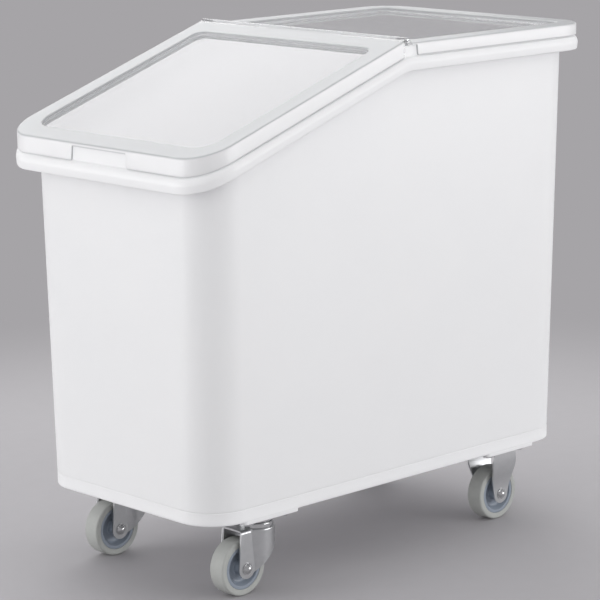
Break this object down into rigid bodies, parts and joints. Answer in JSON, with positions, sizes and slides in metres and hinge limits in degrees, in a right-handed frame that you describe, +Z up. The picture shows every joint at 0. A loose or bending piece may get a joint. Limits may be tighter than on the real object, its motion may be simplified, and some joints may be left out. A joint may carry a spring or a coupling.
{
  "type": "rolling flour bin",
  "caption": "White slant-top ingredient bin for dry flour, with a hinged clear front lid and a clear rear lid, rolling on swivel front casters and rigid rear casters.",
  "frame": {"origin": "on the floor under the middle of the rim", "axes": "+Z up, the low front of the bin faces -Y, the flat rear lid is towards +Y, +X to the bin's right seen from behind the front"},
  "size_m": [0.419, 0.749, 0.7282],
  "materials": {
    "white_polyethylene": "moulded satin white polyethylene",
    "clear_polycarbonate": "clear polycarbonate sheet",
    "zinc_steel": "zinc-plated pressed sheet",
    "bright_steel": "bright plated fastener steel",
    "wheel_plastic": "blue-grey moulded wheel core",
    "grey_rubber": "light grey non-marking rubber"
  },
  "bodies": {
    "tub": {"tub": "white_polyethylene", "front_left_plate": "zinc_steel", "front_left_race_balls": "bright_steel", "front_left_kingpin": "bright_steel", "front_left_plate_bolts": "bright_steel", "front_right_plate": "zinc_steel", "front_right_race_balls": "bright_steel", "front_right_kingpin": "bright_steel", "front_right_plate_bolts": "bright_steel", "rear_left_fork": "zinc_steel", "rear_left_axle_sleeve": "bright_steel", "rear_left_axle_bolt": "bright_steel", "rear_left_axle_nut": "bright_steel", "rear_left_plate_bolts": "bright_steel", "rear_right_fork": "zinc_steel", "rear_right_axle_sleeve": "bright_steel", "rear_right_axle_bolt": "bright_steel", "rear_right_axle_nut": "bright_steel", "rear_right_plate_bolts": "bright_steel"},
    "rear_lid": {"rear_lid": "clear_polycarbonate", "hinge_pin_left": "bright_steel", "hinge_pin_right": "bright_steel"},
    "front_lid": {"front_lid": "clear_polycarbonate"},
    "front_left_wheel": {"front_left_wheel_core": "wheel_plastic", "front_left_tyre": "grey_rubber"},
    "front_left_swivel": {"front_left_fork": "zinc_steel", "front_left_axle_sleeve": "bright_steel", "front_left_axle_bolt": "bright_steel", "front_left_axle_nut": "bright_steel"},
    "front_right_wheel": {"front_right_wheel_core": "wheel_plastic", "front_right_tyre": "grey_rubber"},
    "front_right_swivel": {"front_right_fork": "zinc_steel", "front_right_axle_sleeve": "bright_steel", "front_right_axle_bolt": "bright_steel", "front_right_axle_nut": "bright_steel"},
    "rear_left_wheel": {"rear_left_wheel_core": "wheel_plastic", "rear_left_tyre": "grey_rubber"},
    "rear_right_wheel": {"rear_right_wheel_core": "wheel_plastic", "rear_right_tyre": "grey_rubber"}
  },
  "joints": [
    {"name": "rear_lid_lift", "type": "slide", "parent": "tub", "child": "rear_lid", "axis": [0, 0, 1], "range_m": [0, 0.15]},
    {"name": "front_lid_hinge", "type": "hinge", "parent": "rear_lid", "child": "front_lid", "pos_m": [0, -0.0033, 0.7249], "axis": [-1, 0, 0], "range_deg": [0, 161]},
    {"name": "front_left_swivel", "type": "hinge", "parent": "tub", "child": "front_left_swivel", "pos_m": [-0.131, -0.226, 0], "axis": [0, 0, 1], "continuous": true},
    {"name": "front_left_wheel_spin", "type": "hinge", "parent": "front_left_swivel", "child": "front_left_wheel", "pos_m": [-0.131, -0.258, 0.039], "axis": [1, 0, 0], "continuous": true},
    {"name": "front_right_swivel", "type": "hinge", "parent": "tub", "child": "front_right_swivel", "pos_m": [0.131, -0.226, 0], "axis": [0, 0, 1], "continuous": true},
    {"name": "front_right_wheel_spin", "type": "hinge", "parent": "front_right_swivel", "child": "front_right_wheel", "pos_m": [0.131, -0.258, 0.039], "axis": [1, 0, 0], "continuous": true},
    {"name": "rear_left_wheel_spin", "type": "hinge", "parent": "tub", "child": "rear_left_wheel", "pos_m": [-0.131, 0.245, 0.039], "axis": [1, 0, 0], "continuous": true},
    {"name": "rear_right_wheel_spin", "type": "hinge", "parent": "tub", "child": "rear_right_wheel", "pos_m": [0.131, 0.245, 0.039], "axis": [1, 0, 0], "continuous": true}
  ]
}
